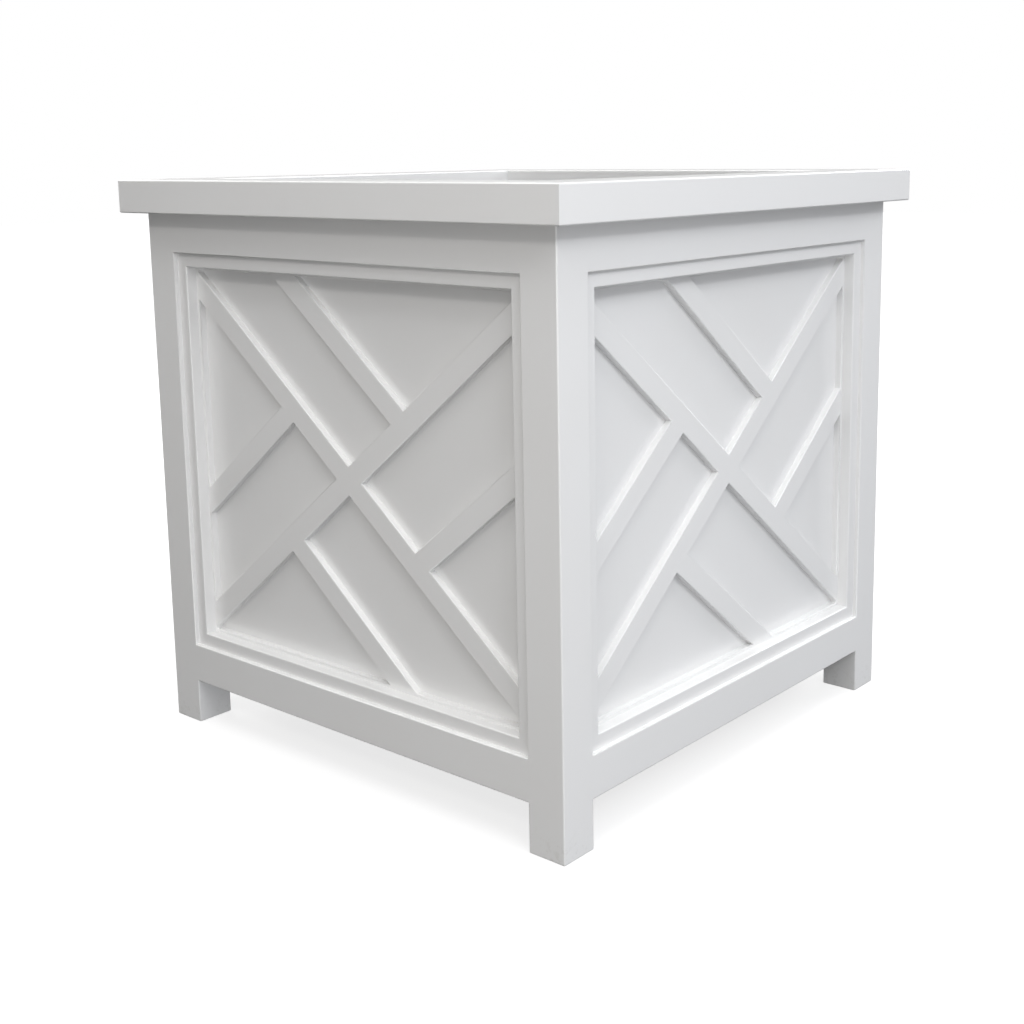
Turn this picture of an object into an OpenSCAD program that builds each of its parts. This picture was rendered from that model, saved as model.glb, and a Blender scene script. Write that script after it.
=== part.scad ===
// Square planter box with a fretwork panel on each side, a mitred cap and a lift-out liner.
// Millimetres, +Z up. The origin is on the floor, midway between the four feet.
// Side 0 faces -Y (front), side 1 +X (right), side 2 +Y (back) and side 3 -X (left).

/* [Overall size] */
// Side of the square body, over the outer faces of the posts
body_w = 711; // [560:1:1000]
// Height from the floor to the top of the cap
total_h = 747; // [600:1:1000]
// Clear height under the bottom rails
leg_h = 60; // [20:1:150]

/* [Frame] */
// Side of the square posts, and depth of the rails
post_w = 52; // [52:1:70]
// Height of the top and bottom rails
rail_h = 52.5; // [46:0.5:90]
// Length of each rail's tenon
tenon_l = 22; // [10:1:22]
// Thickness of each rail's tenon
tenon_t = 14; // [8:1:14]
// Depth from the rail's outer face to its tenon
tenon_setback = 12; // [8:1:14]
// Shoulder above and below each tenon
tenon_shoulder = 8; // [4:1:12]

/* [Cap] */
// Thickness of the cap boards
cap_h = 43; // [34:1:60]
// Width of the cap boards
cap_w = 89; // [80:1:110]
// How far the cap stands out past the body
cap_overhang = 25.5; // [10:0.5:40]
// Thickness of the spline across each mitre
spline_t = 6; // [4:1:10]
// Width left between the spline's corners and the edges of the cap
spline_edge = 5.6; // [4:0.2:12]
// Width of the spline across the mitre
spline_w = 30; // [16:1:36]
// Radius of the softened long edges
edge_r = 2; // [1:0.5:4]

/* [Side panels] */
// Setback of the moulding from the face of the posts
step_1 = 6; // [3:0.5:8]
// Thickness of the moulding, and setback of the fretwork behind it
step_2 = 15; // [8:0.5:16]
// Width of the moulding
moulding_w = 18; // [12:1:30]
// Radius of the moulding's inner front edge
moulding_r = 1.5; // [0.5:0.5:3]
// Thickness of the fretwork board
fret_t = 9; // [6:0.5:9]
// Width of the fretwork's border that shows inside the moulding
fret_border = 4; // [2:0.5:20]
// Thickness of the backing panel
panel_t = 9; // [6:0.5:9]
// Depth of the groove that holds the backing panel
groove_d = 8; // [4:1:8]

/* [Fretwork pattern] */
// Width of every bar
bar_w = 29; // [16:1:50]
// How far each long diagonal's outer edge stays off the corner
corner_drop = 3.5; // [0:0.5:20]
// Height of the upper short bars' line above the crossing
upper_bar = 160; // [110:1:200]
// Depth of the lower short bars' line below the crossing
lower_bar = 180; // [110:1:200]

/* [Floor] */
// Width of the cleats that carry the floor
cleat_w = 20; // [16:1:40]
// Height of the cleats
cleat_h = 30; // [24:1:40]
// Height of the cleats' underside above the rail's underside
cleat_rise = 4; // [0:1:10]
// Gap between floor slats, for drainage
slat_gap = 8; // [5:1:20]
// Thickness of the floor slats
slat_t = 15; // [12:1:25]
// Gap between each slat's ends and the rails
slat_end_gap = 3; // [1:1:6]

/* [Liner] */
// Gap all round between the liner's rim and the narrowest opening above the floor
liner_gap = 3; // [2:0.5:10]
// Width of the liner's rim, outside its wall
rim_w = 7; // [4:1:15]
// Thickness of the liner's rim
rim_t = 6; // [4:1:12]
// Thickness of the liner's walls
liner_wall = 4; // [3:0.5:8]
// Thickness of the liner's floor
liner_floor = 5; // [3:0.5:10]
// Depth of the liner's rim below the underside of the cap
liner_drop = 25; // [10:1:120]
// Outer radius of the liner's corners
liner_corner_r = 20; // [12:1:60]
// Diameter of the drain holes
drain_d = 14; // [8:1:25]
// Distance of the outer drain holes from the middle, along the slats
drain_y = 180; // [100:1:180]

/* [Screws] */
// Diameter of the screws that hold the cap down
cap_screw_d = 5; // [4:0.5:6]
// How far the cap screws reach into the cap
cap_screw_bite = 25.5; // [15:0.5:30]
// How far the heads of the cap screws are sunk into the top rails
cap_screw_sink = 12; // [6:1:20]
// Diameter of the screws in the cleats and the floor
floor_screw_d = 4; // [3.5:0.5:5]
// Length of the cleat screws under the head
cleat_screw_l = 38; // [30:1:45]
// Length of the floor screws under the head
floor_screw_l = 26; // [20:1:28]
// Distance between screws along a rail
screw_pitch = 200; // [120:1:220]
// Thickness of every screw head
head_t = 3; // [2:0.5:4]

/* [Hidden] */
$fn = 48;

paint = "white";
steel = "silver";
slate = "dimgray";

// Number of floor slats, each of which is a node of its own
slat_count = 5;
// Clearance round a tenon, spline, panel edge or screw
fit = 0.1;
// Space left at the bottom of a mortise, groove or slot
end_gap = 1;
// Gap under a piece that only rests on another
rest_gap = 0.3;
// Extra length of a cut, so that it breaks the surface cleanly
cut = 1;
// Screw head's diameter as a multiple of its shank's
head_ratio = 1.8;
// Width and depth of the cross slot in a screw head
slot_w = 1.2;
slot_d = 1.5;

body_h = total_h - cap_h;
half = body_w / 2;
cap_half = half + cap_overhang;
// Opening in each side, between the posts and the rails
open_w = body_w - 2 * post_w;
open_h = body_h - leg_h - 2 * rail_h;
open_z = leg_h + rail_h;
fret_d = step_1 + step_2;
panel_d = fret_d + fret_t;
// The part of the fretwork that is cut through, measured from its middle
fret_half_w = open_w / 2 - moulding_w - fret_border;
fret_half_h = open_h / 2 - moulding_w - fret_border;
// Slope at which a bar's outer edge passes each corner of the fretwork at corner_drop
fret_diagonal = norm([fret_half_w, fret_half_h - corner_drop]);
bar_angle = acos(bar_w / 2 / fret_diagonal) - atan2(fret_half_w, fret_half_h - corner_drop);
// Half-length of anything that has to reach past a whole panel
reach = body_w + total_h;
cleat_z = leg_h + cleat_rise;
floor_z = cleat_z + cleat_h;
slat_w = (open_w - (slat_count + 1) * slat_gap) / slat_count;
slat_pitch = slat_w + slat_gap;
slat_l = open_w - 2 * slat_end_gap;
liner_z = floor_z + slat_t + rest_gap;
rim_outer = 2 * (min(cap_half - cap_w, half - post_w) - liner_gap);
liner_w = rim_outer - 2 * rim_w;
liner_h = body_h - liner_drop - liner_z;
// Middle of the rail's lip behind the backing panel, where it lies under the cap and its screws run
lip_d = (panel_d + panel_t + min(post_w, cap_w - cap_overhang)) / 2;
cap_screw_l = rail_h - cap_screw_sink + cap_screw_bite;
spline_l = (cap_w - 2 * spline_edge) * sqrt(2) - spline_w;
// Height of the cleat screws, low enough to pass under the floor screws
cleat_screw_z = cleat_z + 5;

// Puts a side's own frame in place: +X along it, +Y up and +Z out of it, from the face of the posts
module on_side(side) {
    rotate([0, 0, 90 * side]) translate([0, -half, 0]) rotate([90, 0, 0]) children();
}

// A board lying in a side's frame, between two depths below the face of the posts
module at_depth(from, to) {
    translate([0, 0, -to]) linear_extrude(to - from) children();
}

// Rectangle with chosen corners rounded: the list gives left-bottom, right-bottom, right-top, left-top
module soft_rectangle(w, h, r, corners = [1, 1, 1, 1]) {
    places = [[0, 0], [w, 0], [w, h], [0, h]];
    difference() {
        square([w, h]);
        for (i = [0:3]) {
            if (corners[i] == 1) translate(places[i]) square(2 * r, center = true);
        }
    }
    for (i = [0:3]) {
        inward = [places[i][0] == 0 ? r : -r, places[i][1] == 0 ? r : -r];
        if (corners[i] == 1) translate(places[i] + inward) circle(r);
    }
}

// Upright corner post with mortises for the rails and grooves for the backing panels
module post(corner) {
    color(paint) rotate([0, 0, 90 * corner]) translate([-half, -half, 0]) difference() {
        linear_extrude(body_h) soft_rectangle(post_w, post_w, edge_r, [1, 0, 0, 0]);
        post_cuts();
        mirror([1, -1, 0]) post_cuts();
    }
}

// The mortises and the groove in one face of a post
module post_cuts() {
    for (z = [leg_h, body_h - rail_h]) {
        translate([post_w - tenon_l - end_gap, tenon_setback - fit, z + tenon_shoulder - fit])
            cube([tenon_l + end_gap + cut, tenon_t + 2 * fit, rail_h - 2 * tenon_shoulder + 2 * fit]);
    }
    translate([post_w - groove_d, panel_d - fit, open_z - groove_d])
        cube([groove_d + cut, panel_t + 2 * fit, open_h + 2 * groove_d]);
}

// Rail between two posts, in a side's frame, with its tenons and its panel groove
module rail(side, z, groove_z) {
    on_side(side) difference() {
        union() {
            translate([-open_w / 2, z, -post_w]) cube([open_w, rail_h, post_w]);
            translate([-open_w / 2 - tenon_l, z + tenon_shoulder, -tenon_setback - tenon_t])
                cube([open_w + 2 * tenon_l, rail_h - 2 * tenon_shoulder, tenon_t]);
        }
        translate([-open_w / 2 - cut, groove_z, -panel_d - panel_t - fit])
            cube([open_w + 2 * cut, groove_d, panel_t + 2 * fit]);
        children();
    }
}

module bottom_rail(side) {
    color(paint) rail(side, leg_h, open_z - groove_d) cleat_screw_holes(fit);
}

module top_rail(side) {
    color(paint) rail(side, body_h - rail_h, body_h - rail_h) {
        cap_screw_holes(fit);
        for (i = [-1:1]) {
            translate([i * screw_pitch, body_h - rail_h - cut, -lip_d]) rotate([-90, 0, 0])
                cylinder(h = cap_screw_sink + cut, d = cap_screw_d * head_ratio + 2 * fit);
        }
    }
}

// Backing panel, held in the grooves of the posts and rails
module panel(side) {
    margin = groove_d - end_gap;
    color(paint) on_side(side) at_depth(panel_d, panel_d + panel_t)
        translate([-open_w / 2 - margin, open_z - margin])
            square([open_w + 2 * margin, open_h + 2 * margin]);
}

// Bar right across the panel, climbing to the right (1) or the left (-1), above the crossing by rise
module bar(way, rise) {
    translate([0, rise]) rotate(way * bar_angle) square([2 * reach, bar_w], center = true);
}

// Bar from the border to the long diagonal that it meets at the smaller distance
module short_bar(way, rise) {
    above = -way * sign(rise) > 0;
    intersection() {
        bar(way, rise);
        rotate(-way * bar_angle) translate([-reach, above ? 0 : -reach]) square([2 * reach, reach]);
    }
}

// Fretwork board: a border, two long diagonals and four short bars that end on them
module fretwork(side) {
    color(paint) on_side(side) translate([0, open_z + open_h / 2]) at_depth(fret_d, panel_d) {
        difference() {
            square([open_w - 2 * fit, open_h - 2 * fit], center = true);
            square([2 * fret_half_w, 2 * fret_half_h], center = true);
        }
        intersection() {
            square([2 * (fret_half_w + cut), 2 * (fret_half_h + cut)], center = true);
            union() {
                for (way = [-1, 1]) {
                    bar(way, 0);
                    short_bar(way, upper_bar);
                    short_bar(way, -lower_bar);
                }
            }
        }
    }
}

// Mitred moulding strip of one edge of the opening: 0 bottom, 1 right, 2 top, 3 left
module moulding(side, edge) {
    l = edge % 2 == 0 ? open_w : open_h;
    off = edge % 2 == 0 ? open_h / 2 : open_w / 2;
    color(paint) on_side(side) translate([0, open_z + open_h / 2]) rotate(90 * edge) translate([0, -off])
        intersection() {
            at_depth(step_1, fret_d) polygon([
                [-l / 2, 0], [l / 2, 0], [l / 2 - moulding_w, moulding_w], [moulding_w - l / 2, moulding_w]
            ]);
            translate([-l / 2, 0, -fret_d]) rotate([90, 0, 90])
                linear_extrude(l) soft_rectangle(moulding_w, step_2, moulding_r, [0, 0, 1, 0]);
        }
}

// Mitred cap board of one side
module cap(side) {
    inner = cap_half - cap_w;
    color(paint) difference() {
        rotate([0, 0, 90 * side]) intersection() {
            translate([-cap_half, -cap_half, body_h]) rotate([90, 0, 90])
                linear_extrude(2 * cap_half) soft_rectangle(cap_w, cap_h, edge_r);
            translate([0, 0, body_h]) linear_extrude(cap_h)
                polygon([[-cap_half, -cap_half], [cap_half, -cap_half], [inner, -inner], [-inner, -inner]]);
        }
        for (corner = [side, side + 1]) spline(corner, fit);
        on_side(side) cap_screw_holes(fit);
    }
}

// Flat spline across the mitre of one corner, or the slot for it
module spline(corner, room) {
    middle = cap_half - cap_w / 2;
    rotate([0, 0, 90 * corner]) translate([-middle, -middle, body_h + cap_h / 2]) rotate([0, 0, 45])
        cube([spline_l + 2 * room, spline_w + 2 * room, spline_t + 2 * room], center = true);
}

module cap_splines() {
    color(paint) for (corner = [0:3]) spline(corner, 0);
}

// Pan-head screw: the head's underside is at the origin, and the shank runs along +Z
module screw(d, l) {
    head_d = d * head_ratio;
    cylinder(h = l, d = d);
    difference() {
        translate([0, 0, -head_t]) cylinder(h = head_t, d = head_d);
        for (turn = [0, 90]) {
            rotate(turn) translate([0, 0, -head_t]) cube([head_d * 0.7, slot_w, 2 * slot_d], center = true);
        }
    }
}

// Holes for the cap screws, in a side's frame
module cap_screw_holes(room) {
    for (i = [-1:1]) {
        translate([i * screw_pitch, body_h - rail_h, -lip_d]) rotate([-90, 0, 0])
            cylinder(h = cap_screw_sink + cap_screw_l + end_gap, d = cap_screw_d + 2 * room);
    }
}

module cap_screws() {
    color(steel) for (side = [0:3], i = [-1:1]) {
        on_side(side) translate([i * screw_pitch, body_h - rail_h + cap_screw_sink, -lip_d])
            rotate([-90, 0, 0]) screw(cap_screw_d, cap_screw_l);
    }
}

// Cleat on a bottom rail's inner face: the left and right cleats fit between the other two
module cleat(side) {
    l = side % 2 == 0 ? open_w : open_w - 2 * cleat_w;
    color(paint) difference() {
        on_side(side) translate([-l / 2, cleat_z, -post_w - cleat_w]) cube([l, cleat_h, cleat_w]);
        on_side(side) {
            cleat_screw_holes(fit);
            for (i = [-1:1]) {
                translate([i * screw_pitch, cleat_screw_z, -post_w - cleat_w - cut])
                    cylinder(h = head_t + cut, d = floor_screw_d * head_ratio + 2 * fit);
            }
        }
        floor_screw_holes(fit);
    }
}

// Holes for the cleat screws, in a side's frame
module cleat_screw_holes(room) {
    for (i = [-1:1]) {
        translate([i * screw_pitch, cleat_screw_z, -post_w - cleat_w])
            cylinder(h = head_t + cleat_screw_l + end_gap, d = floor_screw_d + 2 * room);
    }
}

module cleat_screws() {
    color(steel) for (side = [0:3], i = [-1:1]) {
        on_side(side) translate([i * screw_pitch, cleat_screw_z, -post_w - cleat_w + head_t])
            screw(floor_screw_d, cleat_screw_l);
    }
}

// Puts a floor screw, or its hole, in every place: two in each end of each slat
module floor_screw_places() {
    for (i = [0:slat_count - 1], across = [-1, 1], end = [-1, 1]) {
        x = (i - (slat_count - 1) / 2) * slat_pitch + across * slat_w / 4;
        translate([x, end * (open_w - cleat_w) / 2, floor_z + slat_t]) mirror([0, 0, 1]) children();
    }
}

module floor_screw_holes(room) {
    floor_screw_places() {
        translate([0, 0, -cut]) cylinder(h = cut + head_t, d = floor_screw_d * head_ratio + 2 * room);
        cylinder(h = head_t + floor_screw_l + end_gap, d = floor_screw_d + 2 * room);
    }
}

module floor_screws() {
    color(steel) floor_screw_places() translate([0, 0, head_t]) screw(floor_screw_d, floor_screw_l);
}

module floor_slat(i) {
    x = (i - (slat_count - 1) / 2) * slat_pitch;
    color(paint) difference() {
        translate([x - slat_w / 2, -slat_l / 2, floor_z]) cube([slat_w, slat_l, slat_t]);
        floor_screw_holes(fit);
    }
}

// Square with four round corners, about the middle
module round_square(w, r) {
    translate([-w / 2, -w / 2]) soft_rectangle(w, w, r);
}

// Lift-out liner with a stiffening rim and drain holes over the gaps between the slats
module liner() {
    color(slate) difference() {
        union() {
            translate([0, 0, liner_z]) linear_extrude(liner_h) round_square(liner_w, liner_corner_r);
            translate([0, 0, liner_z + liner_h - rim_t])
                linear_extrude(rim_t) round_square(rim_outer, liner_corner_r + rim_w);
        }
        translate([0, 0, liner_z + liner_floor]) linear_extrude(liner_h)
            round_square(liner_w - 2 * liner_wall, liner_corner_r - liner_wall);
        for (i = [1:slat_count - 1], y = [-1, 0, 1]) {
            translate([(i - slat_count / 2) * slat_pitch, y * drain_y, liner_z - cut])
                cylinder(h = liner_floor + 2 * cut, d = drain_d);
        }
    }
}

post(0);  // post_front_left
post(1);  // post_front_right
post(2);  // post_back_right
post(3);  // post_back_left
bottom_rail(0);  // bottom_rail_front
bottom_rail(1);  // bottom_rail_right
bottom_rail(2);  // bottom_rail_back
bottom_rail(3);  // bottom_rail_left
top_rail(0);  // top_rail_front
top_rail(1);  // top_rail_right
top_rail(2);  // top_rail_back
top_rail(3);  // top_rail_left
panel(0);  // panel_front
panel(1);  // panel_right
panel(2);  // panel_back
panel(3);  // panel_left
fretwork(0);  // fretwork_front
fretwork(1);  // fretwork_right
fretwork(2);  // fretwork_back
fretwork(3);  // fretwork_left
moulding(0, 0);  // moulding_bottom_front
moulding(0, 1);  // moulding_right_front
moulding(0, 2);  // moulding_top_front
moulding(0, 3);  // moulding_left_front
moulding(1, 0);  // moulding_bottom_right
moulding(1, 1);  // moulding_right_right
moulding(1, 2);  // moulding_top_right
moulding(1, 3);  // moulding_left_right
moulding(2, 0);  // moulding_bottom_back
moulding(2, 1);  // moulding_right_back
moulding(2, 2);  // moulding_top_back
moulding(2, 3);  // moulding_left_back
moulding(3, 0);  // moulding_bottom_left
moulding(3, 1);  // moulding_right_left
moulding(3, 2);  // moulding_top_left
moulding(3, 3);  // moulding_left_left
cap(0);  // cap_front
cap(1);  // cap_right
cap(2);  // cap_back
cap(3);  // cap_left
cap_splines();
cap_screws();
cleat(0);  // cleat_front
cleat(1);  // cleat_right
cleat(2);  // cleat_back
cleat(3);  // cleat_left
cleat_screws();
floor_slat(0);  // floor_slat_1
floor_slat(1);  // floor_slat_2
floor_slat(2);  // floor_slat_3
floor_slat(3);  // floor_slat_4
floor_slat(4);  // floor_slat_5
floor_screws();
liner();
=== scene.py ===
"""Looks for the square planter box: painted boards, mitred mouldings, screws and liner.

Everything is in metres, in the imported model's own frame. The CAD's boards are either dressed as they
are, or copied and given softened arrises, or made again by a Geometry Nodes tree where they repeat.
"""

import logging
import math
from collections import defaultdict
from dataclasses import dataclass, field
from enum import Enum
from typing import Callable, Iterable, Sequence

import bmesh
import bpy
from mathutils import Euler, Matrix, Vector


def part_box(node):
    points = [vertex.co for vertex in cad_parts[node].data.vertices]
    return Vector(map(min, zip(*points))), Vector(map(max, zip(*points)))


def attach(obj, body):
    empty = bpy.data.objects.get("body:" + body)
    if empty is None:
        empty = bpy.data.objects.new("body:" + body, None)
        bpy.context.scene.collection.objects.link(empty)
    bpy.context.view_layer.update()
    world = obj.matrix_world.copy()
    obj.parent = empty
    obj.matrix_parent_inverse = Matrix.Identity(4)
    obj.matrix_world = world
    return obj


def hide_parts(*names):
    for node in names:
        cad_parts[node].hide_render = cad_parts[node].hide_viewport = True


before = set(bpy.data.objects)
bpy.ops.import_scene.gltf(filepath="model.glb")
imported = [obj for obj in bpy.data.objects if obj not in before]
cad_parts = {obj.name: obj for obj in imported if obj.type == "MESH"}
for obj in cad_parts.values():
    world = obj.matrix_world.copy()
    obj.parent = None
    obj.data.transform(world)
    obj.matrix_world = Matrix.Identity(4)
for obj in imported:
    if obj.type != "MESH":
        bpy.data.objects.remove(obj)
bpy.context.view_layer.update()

log = logging.getLogger("planter")

MM = 0.001
SIDES = ("front", "right", "back", "left")

Colour = tuple[float, float, float, float]


class Body(Enum):
    """The CAD's bodies."""

    PLANTER = "planter"
    LINER = "liner"


class Slot(Enum):
    """The record's material slots."""

    BOARD = "white_board"
    STEEL = "steel"
    PLASTIC = "liner"


# ---------------------------------------------------------------- shader maths


class Wire:
    """A shader socket that can be used in Python expressions."""

    def __init__(self, desk: "Desk", socket: bpy.types.NodeSocket) -> None:
        """Wraps one output socket of the desk's node tree."""
        self.desk = desk
        self.socket = socket

    def _math(self, operation: str, first: "Wire | float", second: "Wire | float") -> "Wire":
        """One Math node.

        Args:
            operation: The Math node's operation.
            first: Its first value.
            second: Its second value.

        Returns:
            The node's result.
        """
        return self.desk.node("ShaderNodeMath", {"operation": operation}, {0: first, 1: second})

    def __add__(self, other: "Wire | float") -> "Wire":
        """Sum."""
        return self._math("ADD", self, other)

    __radd__ = __add__

    def __mul__(self, other: "Wire | float") -> "Wire":
        """Product."""
        return self._math("MULTIPLY", self, other)

    __rmul__ = __mul__

    def __sub__(self, other: "Wire | float") -> "Wire":
        """Difference."""
        return self._math("SUBTRACT", self, other)

    def __rsub__(self, other: "Wire | float") -> "Wire":
        """Difference, with the number first."""
        return self._math("SUBTRACT", other, self)

    def __pow__(self, other: "Wire | float") -> "Wire":
        """Power."""
        return self._math("POWER", self, other)

    def clear_of(self, low: float, high: float) -> "Wire":
        """How far the value is from low to high.

        Args:
            low: The value that gives 0.
            high: The value that gives 1.

        Returns:
            A smooth share from 0 to 1.
        """
        return self.desk.node(
            "ShaderNodeMapRange",
            {"interpolation_type": "SMOOTHSTEP"},
            {"Value": self, "From Min": low, "From Max": high, "To Min": 0.0, "To Max": 1.0},
        )


class Desk:
    """The node tree of a material or of the world, with one method that adds any node."""

    def __init__(self, owner: bpy.types.Material | bpy.types.World) -> None:
        """Clears a node tree, to be built again.

        Args:
            owner: The material or world that it belongs to.
        """
        self.owner = owner
        owner.use_nodes = True
        self.tree = owner.node_tree
        self.tree.nodes.clear()

    def node(
        self,
        kind: str,
        settings: dict[str, object] | None = None,
        inputs: dict[str | int, object] | None = None,
        output: str | int = 0,
    ) -> Wire:
        """Adds a node.

        Args:
            kind: The node's type.
            settings: Its properties, which are set first.
            inputs: Values or wires for its sockets, by name or number.
            output: Which of its outputs to return.

        Returns:
            That output as a wire.
        """
        made = self.tree.nodes.new(kind)
        for name, value in (settings or {}).items():
            setattr(made, name, value)
        for name, value in (inputs or {}).items():
            if isinstance(value, Wire):
                self.tree.links.new(value.socket, made.inputs[name])
            else:
                made.inputs[name].default_value = value
        return Wire(self, made.outputs[output])

    def place(self, stretch: Sequence[float] = (1, 1, 1)) -> Wire:
        """Object coordinates.

        Args:
            stretch: How much each axis is scaled.

        Returns:
            The coordinates.
        """
        own = self.node("ShaderNodeTexCoord", output="Object")
        return self.node("ShaderNodeMapping", None, {"Vector": own, "Scale": tuple(stretch)})

    def noise(self, at: Wire, scale: float, detail: float = 2.0, rough: float = 0.5) -> Wire:
        """Noise from 0 to 1.

        Args:
            at: Coordinates.
            scale: Cells in a metre.
            detail: Octaves.
            rough: How strong the fine octaves are.

        Returns:
            The noise.
        """
        return self.node(
            "ShaderNodeTexNoise", None, {"Vector": at, "Scale": scale, "Detail": detail, "Roughness": rough}
        )

    def blend(self, share: Wire, first: Wire | Colour, second: Wire | Colour) -> Wire:
        """Mixes two colours.

        Args:
            share: 0 gives the first, 1 the second.
            first: A colour or a wire.
            second: A colour or a wire.

        Returns:
            The mixed colour.
        """
        return self.node(
            "ShaderNodeMix", {"data_type": "RGBA"}, {0: share, 6: first, 7: second}, output=2
        )

    def mark(self, name: str) -> Wire:
        """A number that the mesh carries.

        Args:
            name: The attribute's name.

        Returns:
            Its value.
        """
        return self.node("ShaderNodeAttribute", {"attribute_name": name}, output="Fac")

    def facing(self, axis: int) -> Wire:
        """How far the surface faces along one axis.

        Args:
            axis: 0, 1 or 2 for X, Y or Z.

        Returns:
            That part of the normal.
        """
        normal = self.node("ShaderNodeNewGeometry", output="Normal")
        return self.node("ShaderNodeSeparateXYZ", None, {"Vector": normal}, output=axis)

    def bump(self, height: Wire, strength: float, distance: float, below: Wire | None = None) -> Wire:
        """Turns a height into a normal.

        Args:
            height: The height, in units of distance.
            strength: From 0 to 1.
            distance: Metres for a height of 1.
            below: Another bump's normal that this one is laid on.

        Returns:
            The normal.
        """
        inputs: dict[str | int, object] = {"Height": height, "Strength": strength, "Distance": distance}
        if below is not None:
            inputs["Normal"] = below
        return self.node("ShaderNodeBump", None, inputs)

    def finish(self, **sockets: object) -> bpy.types.Material:
        """Adds the shader and the output.

        Args:
            **sockets: Values or wires for the shader, with _ for a space in a socket's name.

        Returns:
            The material.
        """
        values = {name.replace("_", " "): value for name, value in sockets.items()}
        surface = self.node("ShaderNodeBsdfPrincipled", None, values)
        self.node_output(surface)
        return self.owner

    def node_output(self, surface: Wire, kind: str = "ShaderNodeOutputMaterial") -> None:
        """Wires a shader to the tree's output."""
        out = self.tree.nodes.new(kind)
        self.tree.links.new(surface.socket, out.inputs["Surface"])


# ---------------------------------------------------------------- finishes


class Grain(Enum):
    """Which way a sprayed board was sanded before its last coat."""

    ACROSS = (1.0, 1.0, 6.0)
    UPRIGHT = (6.0, 6.0, 1.0)


ARRIS = "arris"


@dataclass(frozen=True)
class SatinPaint:
    """White satin paint, sprayed on boards that were sanded first; the rounded arrises carry a painted
    highlight.
    """

    name: str
    grain: Grain
    fresh: Colour = (0.81, 0.812, 0.81, 1)
    settled: Colour = (0.775, 0.772, 0.762, 1)
    scuffed: Colour = (0.60, 0.59, 0.565, 1)
    # Lighter than fresh paint: paint rubbed thin on the arrises, and a painted highlight there
    thin_and_highlit: Colour = (0.86, 0.86, 0.85, 1)
    roughness: float = 0.31
    peel: float = 0.000035
    scuff_height: float = 0.045

    def material(self) -> bpy.types.Material:
        """Builds the paint's node tree.

        Returns:
            The material.
        """
        desk = Desk(bpy.data.materials.new(self.name))
        at = desk.place()
        along = desk.place(self.grain.value)
        cloud = desk.noise(at, 4.5, 3, 0.55)
        streak = desk.noise(along, 38, 3, 0.6)
        peel = desk.noise(at, 330, 3, 0.5)
        wave = desk.noise(at, 42, 2, 0.5)
        specks = desk.noise(at, 900, 1, 0.5).clear_of(0.73, 0.80)
        height = desk.node("ShaderNodeSeparateXYZ", None, {"Vector": at}, output=2)
        low = 1 - height.clear_of(0.0, self.scuff_height)
        scuffs = low * desk.noise(at, 120, 4, 0.7).clear_of(0.50, 0.68)
        lying = desk.facing(2).clear_of(0.6, 0.95) * desk.noise(at, 60, 4, 0.65).clear_of(0.42, 0.75)
        # Arrises made lighter in patches: paint rubbed thin, and a painted highlight along the rounded edges
        rubbed_and_highlit = desk.mark(ARRIS) * desk.noise(at, 75, 3, 0.6).clear_of(0.45, 0.7)
        colour = desk.blend(cloud.clear_of(0.3, 0.75) * 0.35 + streak * 0.08, self.fresh, self.settled)
        colour = desk.blend(lying * 0.08, colour, self.scuffed)
        colour = desk.blend(rubbed_and_highlit * 0.4, colour, self.thin_and_highlit)
        colour = desk.blend(scuffs * 0.35, colour, self.scuffed)
        rough = (
            (wave - 0.5) * 0.10 + (streak - 0.5) * 0.06 + lying * 0.12 + scuffs * 0.2 + specks * 0.08
        ) + self.roughness
        skin = desk.bump(peel + specks * 0.25, 0.5, self.peel)
        skin = desk.bump(wave + streak * 0.08, 0.5, 0.00010, skin)
        return desk.finish(
            Base_Color=colour, Roughness=rough, Normal=skin, IOR=1.5, Specular_IOR_Level=0.42,
            Coat_Weight=0.5, Coat_Roughness=0.22, Coat_IOR=1.45
        )


@dataclass(frozen=True)
class PlainSteel:
    """Plain stainless steel of the screws."""

    name: str = "plain_steel"
    bright: Colour = (0.66, 0.67, 0.68, 1)
    dull: Colour = (0.42, 0.42, 0.41, 1)

    def material(self) -> bpy.types.Material:
        """Builds the steel's node tree.

        Returns:
            The material.
        """
        desk = Desk(bpy.data.materials.new(self.name))
        at = desk.place()
        fleck = desk.node(
            "ShaderNodeTexVoronoi", {"feature": "F1"}, {"Vector": at, "Scale": 900.0}, output="Distance"
        )
        bloom = desk.noise(at, 420, 4, 0.65)
        drawn = desk.noise(desk.place((1, 1, 14)), 700, 2, 0.5)
        colour = desk.blend(bloom.clear_of(0.35, 0.75), self.bright, self.dull)
        rough = bloom * 0.25 + fleck * 0.10 + 0.22
        grain = desk.bump(drawn + fleck * 0.3, 0.4, 0.00004)
        return desk.finish(Base_Color=colour, Metallic=1.0, Roughness=rough, Normal=grain)


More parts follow.
